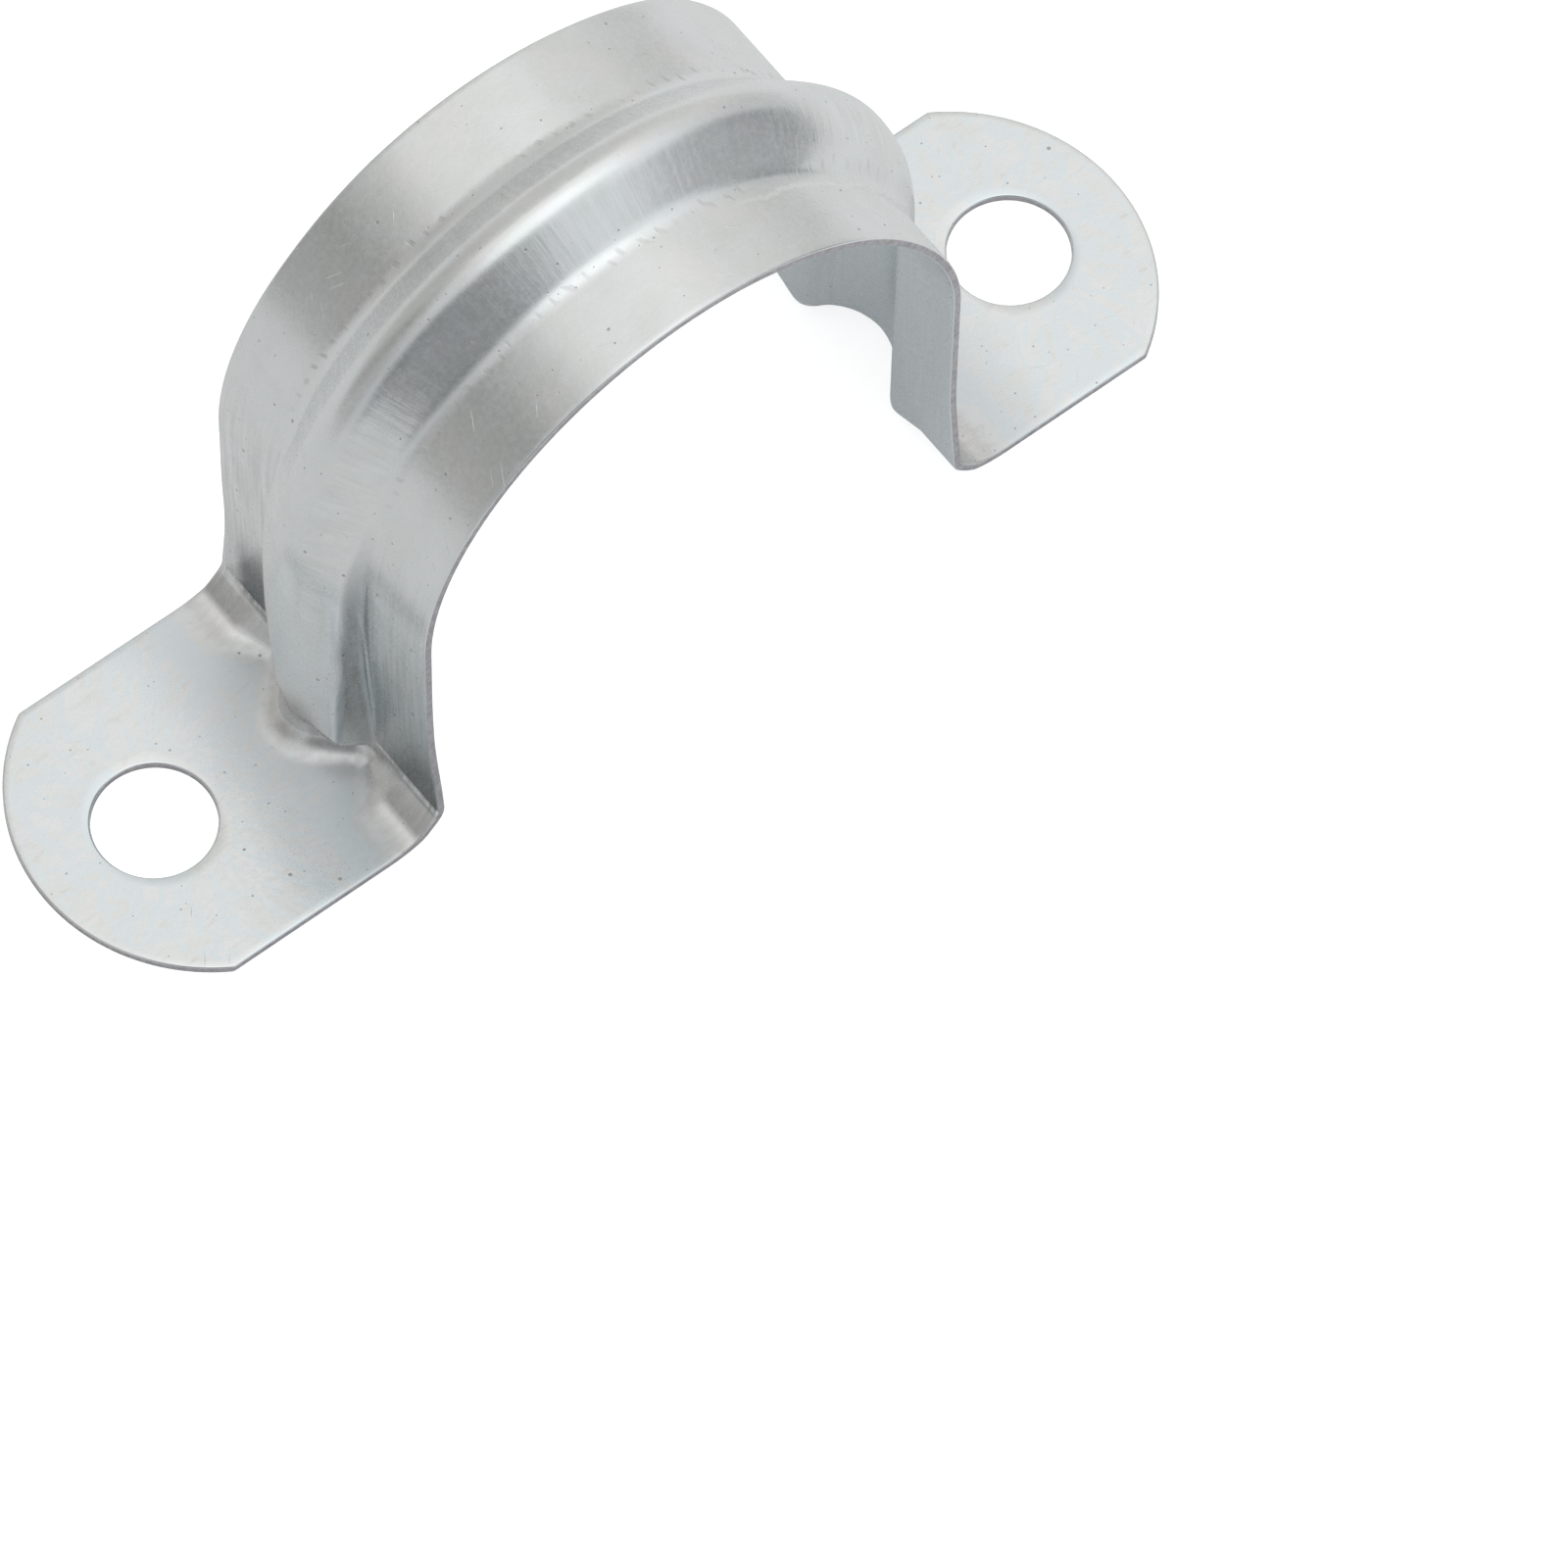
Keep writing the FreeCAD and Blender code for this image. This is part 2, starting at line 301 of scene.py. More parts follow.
# the inner skin follows the plain rib, because the sharp one would fold when set inward
plain_strip = whole_strip(0.0)[0]
ROWS = len(strip)
CROWN_ALONG = strip_marks[ROWS // 2, 0, 0]
sheet.add(strip, plain_strip - grid_normals(plain_strip) * SHEET, grid_normals(strip),
          strip_marks)


def cell(row, column):
    return row * COLUMNS + column


for r in range(ROWS - 1):
    for c in range(COLUMNS - 1):
        sheet.quads.append((cell(r, c), cell(r + 1, c), cell(r + 1, c + 1), cell(r, c + 1)))


# ---------------------------------------------------------------- the feet
def end_outline(inset):
    """The foot's outline beyond the strip, from the rear edge round the tip, as (x, y)."""
    centre = TIP_X - END_RADIUS
    radius, half = END_RADIUS - inset, FOOT_HALF - inset
    corner_y = FOOT_HALF - END_CORNER
    corner_x = centre + math.sqrt((END_RADIUS - END_CORNER) ** 2 - corner_y ** 2)
    side_x = np.linspace(STRIP_END, corner_x, 22)[1:]
    side = np.stack([side_x, np.full(len(side_x), half)], -1)
    end_turn = math.atan2(corner_x - centre, corner_y)
    turn = np.linspace(0.0, end_turn, 7)[1:]
    rounding = np.stack([corner_x + (END_CORNER - inset) * np.sin(turn),
                         corner_y + (END_CORNER - inset) * np.cos(turn)], -1)
    sweep = np.linspace(QUARTER - end_turn, end_turn - QUARTER, 61)[1:]
    arc = np.stack([centre + radius * np.cos(sweep), radius * np.sin(sweep)], -1)
    back = np.concatenate([side, rounding])[::-1] * (1.0, -1.0)
    return np.concatenate([side, rounding, arc, back[1:]])


def foot(side):
    """Flat foot between the strip's end row and the tip, as rings from its outline in to the
    hole. Gives the vertices of the tip's outline and of the hole."""
    row = 0 if side < 0 else ROWS - 1
    line = [cell(row, c) for c in range(COLUMNS)]
    loop_xy = np.concatenate([
        np.stack([np.full(COLUMNS, STRIP_END), strip[row][:, 1]], -1), end_outline(ROLLOVER)])
    centre = np.array([HOLE_X, 0.0])
    arms = loop_xy - centre
    turn = np.arctan2(arms[:, 1], arms[:, 0])
    hole = centre + (HOLE_RADIUS + ROLLOVER) * np.stack([np.cos(turn), np.sin(turn)], -1)
    rings = []
    for k in range(RINGS + 1):
        shared = line if k == 0 else []
        xy = loop_xy + (hole - loop_xy) * (k / RINGS) ** CROWDING
        new = xy[len(shared):]
        place = np.stack([side * new[:, 0], new[:, 1], np.full(len(new), SHEET)], -1)
        mark = np.stack([-(new[:, 0] - OUTER - BEND_AT_EDGE), new[:, 1]], -1)
        if side > 0:
            mark[:, 0] = 2.0 * CROWN_ALONG - mark[:, 0]
        facing = np.tile((0.0, 0.0, 1.0), (len(new), 1))
        first = sheet.add(place, place - facing * SHEET, facing, mark)
        rings.append(shared + list(range(first, first + len(new))))
    for a, b in zip(rings[:-1], rings[1:]):
        for i in range(len(loop_xy)):
            j = (i + 1) % len(loop_xy)
            sheet.quads.append((a[i], a[j], b[j], b[i]))
    return rings[0][COLUMNS:], rings[-1]


left_tip, left_hole = foot(-1)
right_tip, right_hole = foot(1)
# One loop round the whole sheet: rear edge of the strip, +X tip, front edge, -X tip.
rear_edge = [cell(r, COLUMNS - 1) for r in range(ROWS)]
front_edge = [cell(r, 0) for r in range(ROWS)]
outline = rear_edge + right_tip + front_edge[::-1] + left_tip[::-1]


# ---------------------------------------------------------------- the mesh
def edge_profile():
    """Section of a cut edge from the outer skin to the inner one: (out, down) in mm."""
    profile = [(ROLLOVER * math.sin(turn), ROLLOVER * (1.0 - math.cos(turn)))
               for turn in (k / 4.0 * QUARTER for k in range(1, 5))]
    profile.append((ROLLOVER, SHEET * 0.62))
    return profile + [(ROLLOVER - BURR * (1.0 - math.cos(turn)),
                       SHEET - BURR + BURR * math.sin(turn))
                      for turn in (k / 2.0 * QUARTER for k in range(3))]


SHEARED_BANDS = (3, 4, 5)        # the bands of that section that show bare steel


def inside_places(outer):
    """For each vertex, the mean of the middles of the quads round it."""
    total, hits = np.zeros_like(outer), np.zeros(len(outer))
    for quad in sheet.quads:
        middle = outer[list(quad)].mean(axis=0)
        for i in quad:
            total[i] += middle
            hits[i] += 1
    return total / np.maximum(hits, 1)[:, None]


def build_strap():
    outer, normal, mark = (np.array(a) for a in (sheet.outer, sheet.normal, sheet.mark))
    count = len(outer)
    inside = inside_places(outer)
    places, marks = [outer, np.array(sheet.inner)], [mark, mark]
    faces, kinds = [], []
    # both skins; every quad is oriented by the sheet's own normal
    for quad in sheet.quads:
        a, b, c, d = (outer[i] for i in quad)
        facing = np.dot(np.cross(c - a, d - b), normal[quad[0]]) > 0.0
        quad = quad if facing else quad[::-1]
        faces += [quad, tuple(i + count for i in quad[::-1])]
        kinds += [0, 0]

    # the cut edge round the outline and both holes
    total = 2 * count
    for loop in (outline, left_hole, right_hole):
        ring, up = outer[loop], normal[loop]
        tangent = np.roll(ring, -1, axis=0) - np.roll(ring, 1, axis=0)
        outward = np.cross(tangent, up)
        outward /= np.linalg.norm(outward, axis=1, keepdims=True)
        inward = inside[loop] - ring
        outward *= -np.sign(np.sum(outward * inward, axis=1, keepdims=True) + 1e-12)
        rows = [list(loop)]
        for out, down in edge_profile():
            places.append(ring + outward * out - up * down)
            marks.append(mark[loop])
            rows.append(list(range(total, total + len(loop))))
            total += len(loop)
        rows.append([i + count for i in loop])
        flip = np.sum(np.cross(tangent, -up) * outward) < 0.0
        for k, (a, b) in enumerate(zip(rows[:-1], rows[1:])):
            for i in range(len(loop)):
                j = (i + 1) % len(loop)
                quad = (a[i], b[i], b[j], a[j])
                faces.append(quad if flip else quad[::-1])
                kinds.append(int(k in SHEARED_BANDS))

    mesh = bpy.data.meshes.new("conduit_strap_sheet")
    mesh.from_pydata((np.concatenate(places) * MM).tolist(), [], faces)
    mesh.polygons.foreach_set("material_index", kinds)
    mesh.polygons.foreach_set("use_smooth", [True] * len(faces))
    layer = mesh.uv_layers.new(name="along_across")
    corner_vertex = np.empty(len(mesh.loops), np.int32)
    mesh.loops.foreach_get("vertex_index", corner_vertex)
    # centimetres along and across the strip
    uv = np.concatenate(marks)[corner_vertex] * 0.01
    layer.data.foreach_set("uv", uv.astype(np.float32).ravel())
    mesh.validate()
    mesh.update()
    return bpy.data.objects.new("conduit_strap_sheet", mesh)


# ---------------------------------------------------------------- materials
class Nodes:
    """Short hand for building a shader tree."""

    def __init__(self, tree):
        self.tree = tree
        tree.nodes.clear()

    def put(self, kind, **settings):
        node = self.tree.nodes.new(kind)
        for name, value in settings.items():
            setattr(node, name, value)
        return node

    def link(self, source, target):
        self.tree.links.new(source, target)

    def feed(self, socket, value):
        if hasattr(value, "links") or hasattr(value, "is_output"):
            self.link(value, socket)
        else:
            socket.default_value = value

    def math(self, operation, a, b=0.0, clamp=False):
        node = self.put("ShaderNodeMath", operation=operation, use_clamp=clamp)
        for socket, value in zip(node.inputs, (a, b)):
            self.feed(socket, value)
        return node.outputs[0]

    def times(self, value, *others):
        for other in others:
            value = self.math("MULTIPLY", value, other)
        return value

    def plus(self, value, *others):
        for other in others:
            value = self.math("ADD", value, other)
        return value

    def minus(self, a, b):
        return self.math("SUBTRACT", a, b)

    def ramp(self, value, low, high, to_low=0.0, to_high=1.0):
        node = self.put("ShaderNodeMapRange", interpolation_type="SMOOTHSTEP")
        for name, v in (("Value", value), ("From Min", low), ("From Max", high),
                        ("To Min", to_low), ("To Max", to_high)):
            self.feed(node.inputs[name], v)
        return node.outputs["Result"]

    def fall(self, value, low, high):
        """1 up to low, 0 from high on."""
        return self.ramp(value, low, high, 1.0, 0.0)

    def band(self, value, first, full, fading, gone):
        """0 up to first, 1 from full to fading, 0 from gone on."""
        return self.times(self.ramp(value, first, full), self.fall(value, fading, gone))

    def noise(self, vector, scale, detail=3.0, rough=0.5, distortion=0.0):
        node = self.put("ShaderNodeTexNoise")
        self.link(vector, node.inputs["Vector"])
        node.inputs["Scale"].default_value = scale
        node.inputs["Detail"].default_value = detail
        node.inputs["Roughness"].default_value = rough
        node.inputs["Distortion"].default_value = distortion
        return node.outputs["Fac"]

    def stretch(self, vector, scale, place=(0.0, 0.0, 0.0), turn=0.0):
        node = self.put("ShaderNodeMapping")
        self.link(vector, node.inputs["Vector"])
        node.inputs["Scale"].default_value = scale
        node.inputs["Location"].default_value = place
        node.inputs["Rotation"].default_value = (0.0, 0.0, turn)
        return node.outputs[0]

    def split(self, vector):
        node = self.put("ShaderNodeSeparateXYZ")
        self.link(vector, node.inputs[0])
        return node.outputs[0], node.outputs[1], node.outputs[2]

    def mix(self, factor, a, b):
        node = self.put("ShaderNodeMix", data_type="RGBA")
        self.feed(node.inputs[0], factor)
        self.feed(node.inputs[6], a)
        self.feed(node.inputs[7], b)
        return node.outputs[2]


def new_metal(name):
    """A material with its node helper, shader, texture coordinates and place in mm."""
    material = bpy.data.materials.new(name)
    material.use_nodes = True
    n = Nodes(material.node_tree)
    shader = n.put("ShaderNodeBsdfPrincipled")
    n.link(shader.outputs[0], n.put("ShaderNodeOutputMaterial").inputs[0])
    coords = n.put("ShaderNodeTexCoord")
    mm = n.stretch(coords.outputs["Object"], (1000.0, 1000.0, 1000.0))
    return material, n, shader, coords, mm


ZINC_GREEN = (0.785, 0.805, 0.800, 1.0)
ZINC_BLUE = (0.815, 0.830, 0.840, 1.0)
ZINC_WARM = (0.825, 0.822, 0.825, 1.0)
ZINC_INSIDE = (0.775, 0.820, 0.845, 1.0)
# painted shade: the dark reflection and shade on the outside of the legs
ZINC_PAINTED_SHADE = (0.13, 0.165, 0.175, 1.0)
# painted shade in the bend
ZINC_BEND_SHADE = (0.66, 0.63, 0.615, 1.0)
# painted highlight lines
ZINC_PAINTED_HIGHLIGHT = (0.86, 0.87, 0.86, 1.0)
# cells per mm, reach of a speck in its cell, and a shift, for large and small specks
SPECKS = ((1.05, 0.15, 0.0), (2.3, 0.17, 11.0))
SPECK_CHOSEN = 0.80              # the share of the cells that stays empty
SCRATCHES = ((0.5, 3.0), (2.2, 19.0))      # turn and shift of each set


def specks(n, mm):
    """Specks and pits, 0.1 to 0.25 mm, in loose groups."""
    found = 0.0
    for scale, reach, shift in SPECKS:
        cells = n.put("ShaderNodeTexVoronoi", feature="F1", voronoi_dimensions="3D")
        n.link(n.stretch(mm, (1.0, 1.0, 1.0), (shift, shift, shift)), cells.inputs["Vector"])
        cells.inputs["Scale"].default_value = scale
        picked = n.put("ShaderNodeSeparateColor")
        n.link(cells.outputs["Color"], picked.inputs[0])
        size = n.ramp(picked.outputs[1], 0.0, 1.0, 0.5 * reach, reach)
        dot = n.math("SUBTRACT", 1.0, n.math("DIVIDE", cells.outputs["Distance"], size),
                     clamp=True)
        dot = n.times(n.ramp(dot, 0.0, 0.5),
                      n.math("GREATER_THAN", picked.outputs[0], SPECK_CHOSEN))
        found = n.math("MAXIMUM", dot, found)
    return found


def galvanised():
    """Zinc on sheet steel. Places are in mm: x, z in the part's frame, along and v on the
    strip, where v is negative in front of the rib."""
    material, n, shader, coords, mm = new_metal("galvanised_sheet")
    place = n.stretch(coords.outputs["UV"], (100.0, 100.0, 1.0))
    x, _, z = n.split(mm)
    along, v, _ = n.split(place)
    off = n.math("ABSOLUTE", v)
    on_leg = n.fall(z, ARCH_Z - 8.0, ARCH_Z)
    outside = n.math("GREATER_THAN", n.times(n.split(coords.outputs["Normal"])[0], x), 0.0)

    # cloudy zinc: faint green, blue and pink mottling, and finer tone on top
    cloud = n.noise(mm, 0.45, 4.0, 0.55)
    warm = n.noise(n.stretch(mm, (0.8, 0.8, 0.8), (7.0, 3.0, 5.0)), 0.4, 3.0, 0.5)
    tint = n.mix(n.ramp(cloud, 0.38, 0.62), ZINC_GREEN, ZINC_BLUE)
    tint = n.mix(n.ramp(warm, 0.5, 0.68), tint, ZINC_WARM)
    tint = n.mix(outside, ZINC_INSIDE, tint)
    grain = n.noise(mm, 3.2, 4.0, 0.65)
    speck = specks(n, mm)

    # comb of short dark dashes where the rib leaves the arch
    uneven = n.noise(n.stretch(place, (0.5, 0.12, 1.0)), 1.0, 3.0, 0.6)
    from_even = n.minus(uneven, 0.5)
    step = n.plus(n.times(along, 5.9), n.times(uneven, 11.0), n.times(v, 2.2))
    base = n.plus(off, n.times(from_even, 1.6))
    patchy = n.ramp(n.noise(place, 0.35, 2.0, 0.5), 0.36, 0.52)
    comb = n.times(n.ramp(n.math("SINE", step), 0.45, 0.95),
                   n.band(base, 3.55, 3.75, 3.85, 4.2), n.ramp(z, 23.0, 29.0), patchy,
                   n.ramp(v, -1.0, 1.0, 0.6, 1.0))

    # drawn lines along the strip: on the flanks of the rib and low on the flats
    wavy = n.noise(n.stretch(place, (0.16, 2.6, 1.0)), 1.0, 4.0, 0.6, 0.35)
    flank = n.times(n.band(off, 2.45, 2.75, 3.4, 3.8), on_leg)
    low_flat = n.times(n.ramp(off, 3.6, 4.6), n.fall(z, 16.0, 26.0), 0.6)
    drawn = n.times(n.plus(flank, low_flat), n.ramp(z, 0.6, 2.0),
                    n.ramp(outside, 0.0, 1.0, 0.25, 1.0))
    lines = n.times(drawn, n.minus(wavy, 0.5))

    # fine drag lines across the shoulders of the rib
    across = n.noise(n.stretch(place, (3.0, 0.35, 1.0)), 1.0, 3.0, 0.6, 0.2)
    drag = n.times(n.band(off, 0.6, 1.4, 2.8, 3.4), n.minus(1.0, on_leg),
                   n.minus(across, 0.5))

    # a few fine scratches on the flats
    scratch = 0.0
    for turn, shift in SCRATCHES:
        turned = n.stretch(place, (1.0, 1.0, 1.0), (shift, shift, 0.0), turn)
        hair = n.noise(n.stretch(turned, (0.3, 7.0, 1.0)), 1.0, 1.0, 0.4)
        scratch = n.math("MAXIMUM", n.ramp(hair, 0.745, 0.80), scratch)
    scratch = n.times(scratch, n.ramp(off, 4.0, 5.0))

    # zinc darkened by painted shade and painted dark reflection on the outside of the legs: low
    # on the flats, and on the front flank of the rib, where it starts further out above z = 12 mm
    low_painted_shade = n.ramp(z, 3.0, 13.0, 0.36, 0.0)
    front = n.times(n.fall(v, -4.5, -3.9), n.ramp(v, -7.5, -4.2, 1.0, 0.62))
    front_painted_shade = n.times(n.plus(n.ramp(z, 9.0, 26.0, 0.40, 0.0), low_painted_shade), front)
    # painted shadow in the hollow by the bend, on the rear flat
    rear_painted_shadow = n.times(n.band(v, 4.6, 6.0, 7.2, 8.2), n.ramp(z, 4.0, 10.0, 0.70, 0.0))
    rear_painted_shade = n.times(n.plus(n.times(low_painted_shade, 0.25), rear_painted_shadow), n.ramp(v, 3.4, 4.6))
    above = n.math("MAXIMUM", n.times(n.minus(z, 12.0), 0.035), 0.0)
    knee = n.plus(v, 2.95, n.math("MINIMUM", above, 0.35))
    flank_painted_shade = n.times(n.fall(knee, -0.2, 0.1), n.ramp(v, -4.2, -3.9),
                        n.ramp(z, 2.0, 9.0, 0.36, 0.58), n.fall(z, 15.0, 25.0))
    painted_shade = n.times(n.plus(front_painted_shade, rear_painted_shade, flank_painted_shade), outside, n.ramp(z, 1.6, 2.4))

    # painted shade in the bend: a darker, slightly pink band standing in for the dark reflection
    # there
    ragged = n.noise(n.stretch(place, (0.6, 2.2, 1.0)), 1.0, 3.0, 0.6)
    band_start = n.plus(z, n.times(n.minus(ragged, 0.5), 0.25))
    bend_painted_shade = n.times(n.ramp(band_start, 0.50, 0.60), n.fall(z, 1.9, 2.4),
                        n.ramp(ragged, 0.3, 0.7, 0.25, 0.60), outside)

    # thin painted highlights: the crease above the bend, the foot of the front flank on the legs,
    # and a ragged one in front of the rib, down the far shoulder
    crease = n.times(n.band(z, 2.0, 2.15, 2.4, 2.6), n.ramp(off, 3.9, 4.3))
    edge = n.plus(off, n.times(z, 0.046))
    foot_line_highlight = n.times(n.band(edge, 4.04, 4.16, 4.34, 4.5), n.math("LESS_THAN", v, 0.0),
                        n.ramp(z, 3.0, 5.0), n.fall(z, 11.0, 17.0))
    root = n.plus(v, n.times(from_even, 1.1))
    root_line_highlight = n.times(n.band(root, -4.95, -4.80, -4.66, -4.50), n.ramp(x, 3.0, 9.0),
                        n.ramp(z, 19.0, 22.0, 0.0, 0.8))
    painted_highlight = n.times(n.math("MAXIMUM", crease, foot_line_highlight), n.ramp(wavy, 0.3, 0.6, 0.4, 1.0))
    painted_highlight = n.times(n.math("MAXIMUM", painted_highlight, root_line_highlight), outside)

    tone = n.ramp(grain, 0.28, 0.72, 0.955, 1.0)
    for part, share in ((speck, -0.42), (comb, -0.17), (lines, 1.1), (drag, 0.25),
                        (scratch, 0.10)):
        tone = n.plus(tone, n.times(part, share))
    # painted shade on the legs, painted shade in the bend and painted highlights laid over the
    # zinc's tint
    tint_with_painted_light = n.mix(painted_shade, tint, ZINC_PAINTED_SHADE)
    tint_with_painted_light = n.mix(bend_painted_shade, tint_with_painted_light, ZINC_BEND_SHADE)
    tint_with_painted_light = n.mix(painted_highlight, tint_with_painted_light, ZINC_PAINTED_HIGHLIGHT)
    colour = n.put("ShaderNodeVectorMath", operation="SCALE")
    n.link(tint_with_painted_light, colour.inputs[0])
    n.link(tone, colour.inputs["Scale"])
    n.link(colour.outputs[0], shader.inputs["Base Color"])

    # the feet are duller next to the bend
    by_bend = n.times(n.fall(n.math("ABSOLUTE", x), 21.0, 26.0), n.fall(z, 0.55, 0.75))
    rough = n.plus(n.ramp(grain, 0.3, 0.7, 0.20, 0.29), n.times(n.plus(speck, comb), 0.15),
                   n.times(by_bend, 0.08))
    dull = n.plus(n.times(painted_highlight, 0.55), n.times(by_bend, 0.5))
    n.link(n.minus(1.0, dull), shader.inputs["Metallic"])
    n.link(rough, shader.inputs["Roughness"])

    height = n.times(grain, 0.0035)
    for part, depth in ((cloud, 0.012), (lines, 0.030), (drag, 0.012), (comb, -0.012),
                        (speck, -0.010), (scratch, 0.008)):
        height = n.plus(n.times(part, depth), height)
    bump = n.put("ShaderNodeBump")
    bump.inputs["Strength"].default_value = 1.0
    bump.inputs["Distance"].default_value = MM
    n.link(height, bump.inputs["Height"])
    n.link(bump.outputs[0], shader.inputs["Normal"])
    return material


def sheared_edge():
    """Bare, slightly purple steel where the sheet was cut."""
    material, n, shader, _, mm = new_metal("sheared_edge")
    shader.inputs["Metallic"].default_value = 1.0
    shader.inputs["Roughness"].default_value = 0.42
    grain = n.noise(mm, 3.0, 4.0, 0.6)
    colour = n.mix(n.ramp(grain, 0.3, 0.7), (0.40, 0.385, 0.41, 1.0), (0.56, 0.545, 0.57, 1.0))
    n.link(colour, shader.inputs["Base Color"])
    return material


strap = build_strap()
bpy.context.scene.collection.objects.link(strap)
strap.data.materials.append(galvanised())
strap.data.materials.append(sheared_edge())
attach(strap, "root")
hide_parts(NODE)

# ---------------------------------------------------------------- floor
FLOOR_SIZE = 6.0
FLOOR_GAP = 0.00002              # keeps the floor just clear of the feet
WHITE = (1.0, 1.0, 1.0, 1.0)
SEEN_GLOW = 0.72                 # with the light it gets, this makes the floor white

bpy.ops.mesh.primitive_plane_add(size=FLOOR_SIZE, location=(0.0, 0.0, low.z - FLOOR_GAP))
floor = bpy.context.object
floor.name = "floor"
paper = bpy.data.materials.new("white_floor")
paper.use_nodes = True
n = Nodes(paper.node_tree)
diffuse = n.put("ShaderNodeBsdfDiffuse")
diffuse.inputs["Color"].default_value = (0.8, 0.8, 0.8, 1.0)
glow = n.put("ShaderNodeEmission")
glow.inputs["Color"].default_value = WHITE
path = n.put("ShaderNodeLightPath")
seen = n.math("MAXIMUM", path.outputs["Is Camera Ray"], path.outputs["Is Transmission Ray"])
floor_x = n.split(n.put("ShaderNodeNewGeometry").outputs["Position"])[0]
# metal mirrors a darker floor than the camera sees, and darkest on the near leg's side
mirrored = n.times(path.outputs["Is Glossy Ray"], n.ramp(floor_x, -0.05, 0.10, 0.08, 0.20))
n.link(n.plus(n.times(seen, SEEN_GLOW), mirrored), glow.inputs["Strength"])
both = n.put("ShaderNodeAddShader")
n.link(diffuse.outputs[0], both.inputs[0])
n.link(glow.outputs[0], both.inputs[1])
n.link(both.outputs[0], n.put("ShaderNodeOutputMaterial").inputs[0])
floor.data.materials.append(paper)

# ---------------------------------------------------------------- studio light
ROOM = 0.70
# soft round patches of the room: axis, full within and gone at (degrees), strength
PATCHES = [
    ((0.35, -0.30, 0.88), 8.0, 38.0, 0.12),      # overhead, right
    ((0.45, -0.80, 0.40), 10.0, 45.0, 0.12),     # front right fill
    ((-0.52, -0.77, 0.38), 14.0, 40.0, -0.40),   # dark room, front left
    ((-0.90, -0.25, 0.35), 10.0, 38.0, -0.07),   # dark room, left
    ((-0.92, 0.30, 0.25), 10.0, 38.0, -0.20),    # dark room, far left
    ((-0.60, 0.72, 0.35), 10.0, 40.0, -0.15),    # dark room, back left
    ((0.80, -0.58, 0.20), 8.0, 34.0, -0.36),     # dark gap, right
    ((0.98, 0.05, 0.15), 8.0, 32.0, -0.09),      # its far end
    ((0.00, 0.90, 0.43), 10.0, 45.0, -0.08),     # back
    ((0.60, 0.20, 0.78), 8.0, 35.0, 0.08),       # overhead, far right
    ((-0.64, 0.36, 0.68), 6.0, 18.0, -0.10),     # beside the window
]
# an upright soft-edged window: where each of its four sides starts and ends, and strength
WINDOW_X = (-0.44, -0.26, 0.30, 0.65)
WINDOW_Y = (-0.55, -0.25, 0.37, 0.50)
WINDOW_LIGHT = 0.28
ROOM_FRONT, ROOM_BEHIND = (0.955, 0.985, 1.0, 1.0), (1.0, 1.0, 0.975, 1.0)

world = bpy.data.worlds.new("studio")
bpy.context.scene.world = world
world.use_nodes = True
n = Nodes(world.node_tree)
direction = n.put("ShaderNodeTexCoord").outputs["Generated"]
room_x, room_y, room_z = n.split(direction)
light = ROOM
for axis, full, gone, strength in PATCHES:
    toward = n.put("ShaderNodeVectorMath", operation="DOT_PRODUCT")
    n.link(direction, toward.inputs[0])
    toward.inputs[1].default_value = Vector(axis).normalized()
    light = n.plus(n.ramp(toward.outputs["Value"], math.cos(math.radians(gone)),
                          math.cos(math.radians(full)), 0.0, strength), light)
window = n.times(n.band(room_x, *WINDOW_X), n.band(room_y, *WINDOW_Y),
                 n.math("GREATER_THAN", room_z, 0.0), WINDOW_LIGHT)
studio = n.put("ShaderNodeBackground")
n.link(n.plus(light, window), studio.inputs["Strength"])
n.link(n.mix(n.ramp(room_y, -0.5, 0.6), ROOM_FRONT, ROOM_BEHIND), studio.inputs["Color"])
backdrop = n.put("ShaderNodeBackground")
backdrop.inputs["Strength"].default_value = 1.0
backdrop.inputs["Color"].default_value = WHITE
choose = n.put("ShaderNodeMixShader")
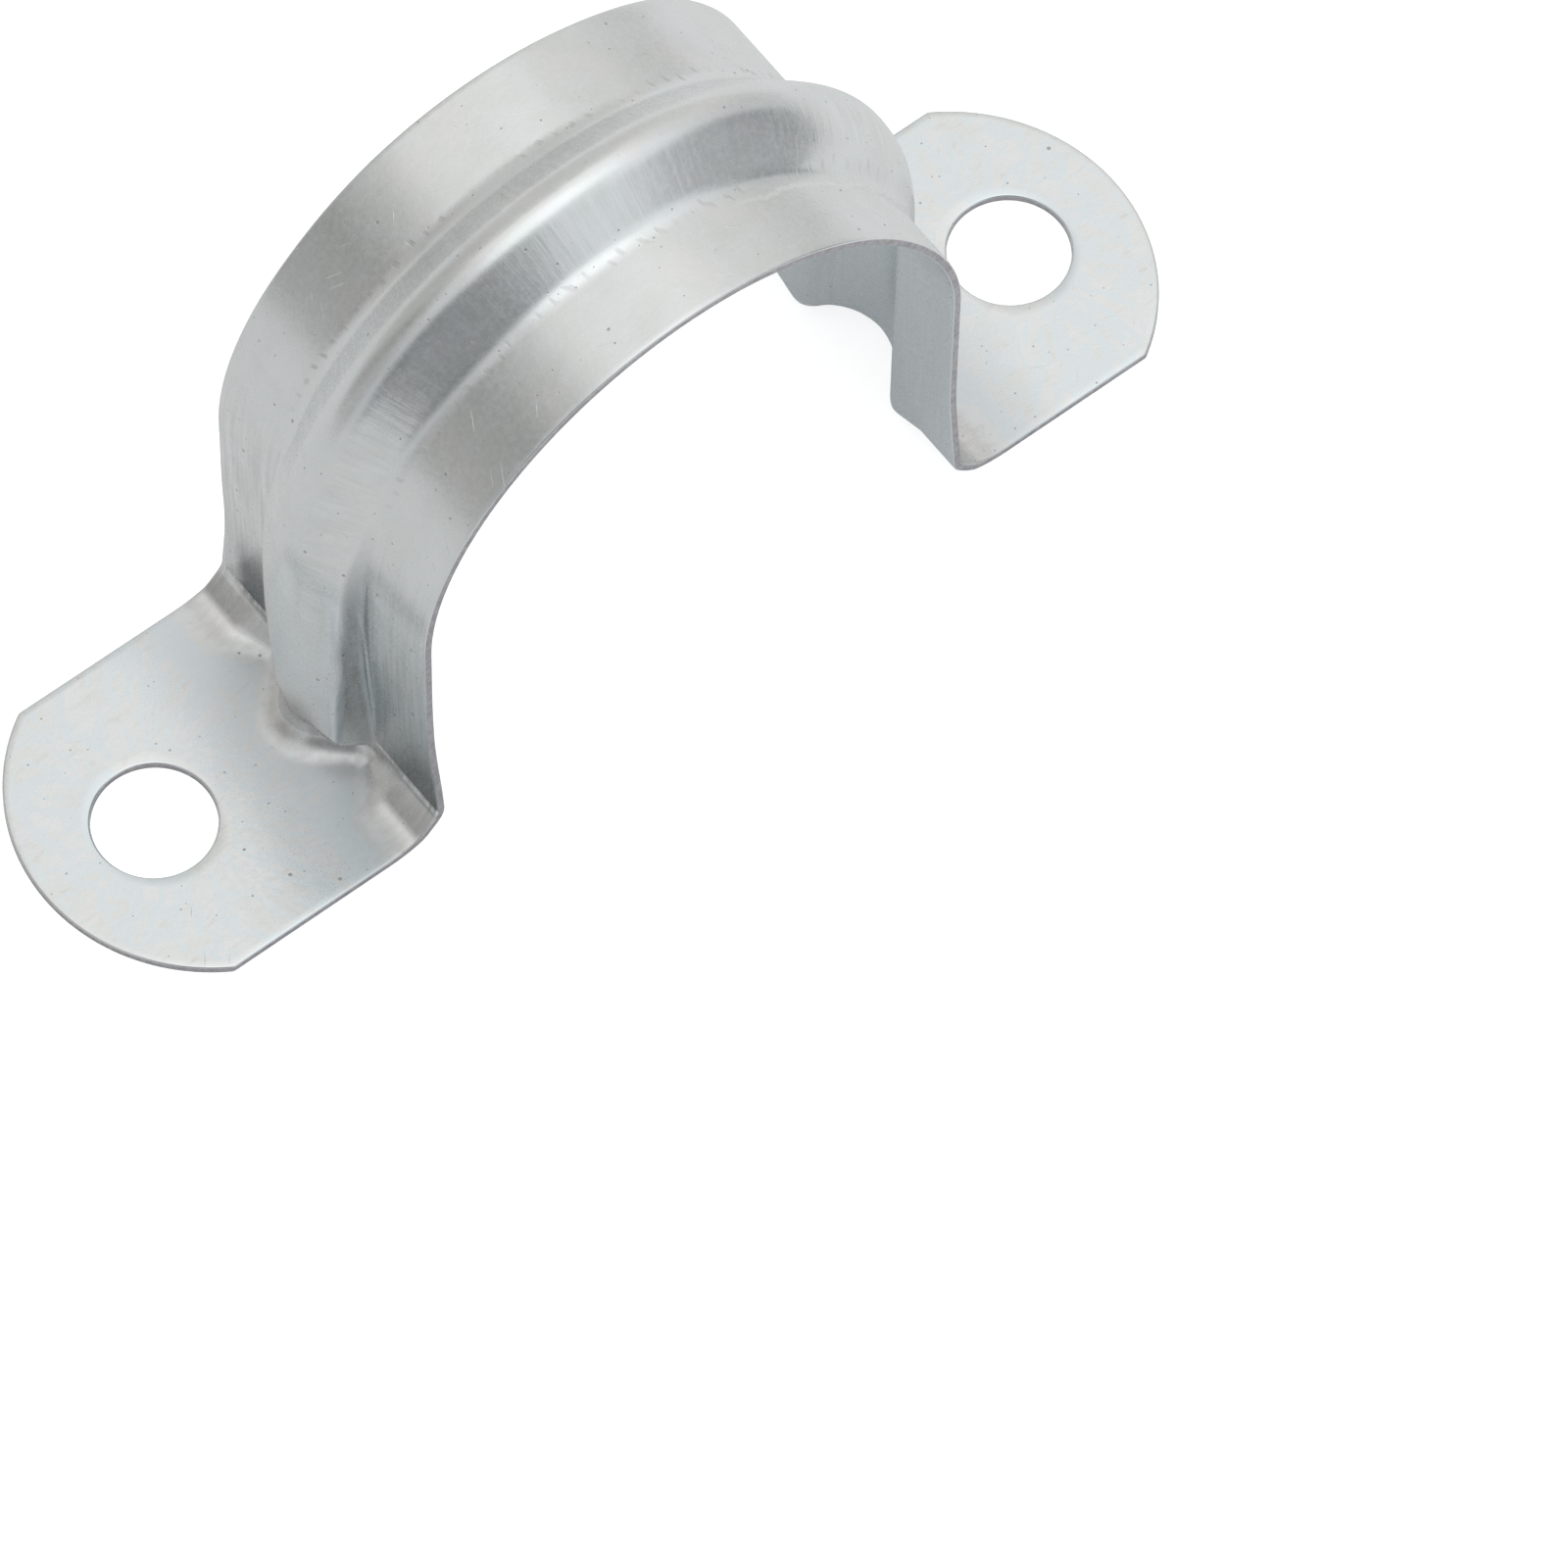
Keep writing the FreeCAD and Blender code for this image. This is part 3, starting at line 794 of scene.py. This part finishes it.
n.link(n.put("ShaderNodeLightPath").outputs["Is Camera Ray"], choose.inputs[0])
n.link(studio.outputs[0], choose.inputs[1])
n.link(backdrop.outputs[0], choose.inputs[2])
n.link(choose.outputs[0], n.put("ShaderNodeOutputWorld").inputs[0])

KEY_SIZE, KEY_POWER = 0.62, 0.20               # metres, watts
KEY_PLACE, KEY_AIM = Vector((-0.02, -0.16, 0.80)), Vector((0.0, 0.0, 0.02))
key_data = bpy.data.lights.new("key", "AREA")
key_data.shape = "DISK"
key_data.size = KEY_SIZE
key_data.energy = KEY_POWER
key = bpy.data.objects.new("key", key_data)
bpy.context.scene.collection.objects.link(key)
key.location = KEY_PLACE
key.rotation_euler = (KEY_AIM - KEY_PLACE).to_track_quat("-Z", "Y").to_euler()

# ---------------------------------------------------------------- camera
AZIMUTH, ELEVATION, ROLL = -39.29, 61.93, 1.69      # degrees; azimuth 0 looks along +Y
DISTANCE = 0.7006                                   # metres
ACROSS_VIEW, UP_VIEW = 0.01086, -0.01285            # the camera's own offset, metres
SENSOR = 36.0                                       # mm
FOCAL = 13450.0 / 1600.0 * SENSOR                   # mm

az, el, roll = (math.radians(a) for a in (AZIMUTH, ELEVATION, ROLL))
back = Vector((math.sin(az) * math.cos(el), -math.cos(az) * math.cos(el), math.sin(el)))
right = Vector((math.cos(az), math.sin(az), 0.0))
up = back.cross(right)
turned_right = math.cos(roll) * right + math.sin(roll) * up
turned_up = -math.sin(roll) * right + math.cos(roll) * up
camera_data = bpy.data.cameras.new("camera")
camera_data.sensor_width = SENSOR
camera_data.lens = FOCAL
camera_data.clip_start, camera_data.clip_end = 0.01, 20.0
camera = bpy.data.objects.new("camera", camera_data)
bpy.context.scene.collection.objects.link(camera)
camera_place = back * DISTANCE + right * ACROSS_VIEW + up * UP_VIEW
camera_turn = Matrix((turned_right, turned_up, back)).transposed().to_4x4()
camera.matrix_world = Matrix.Translation(camera_place) @ camera_turn
bpy.context.scene.camera = camera
bpy.context.scene.view_settings.view_transform = "Standard"
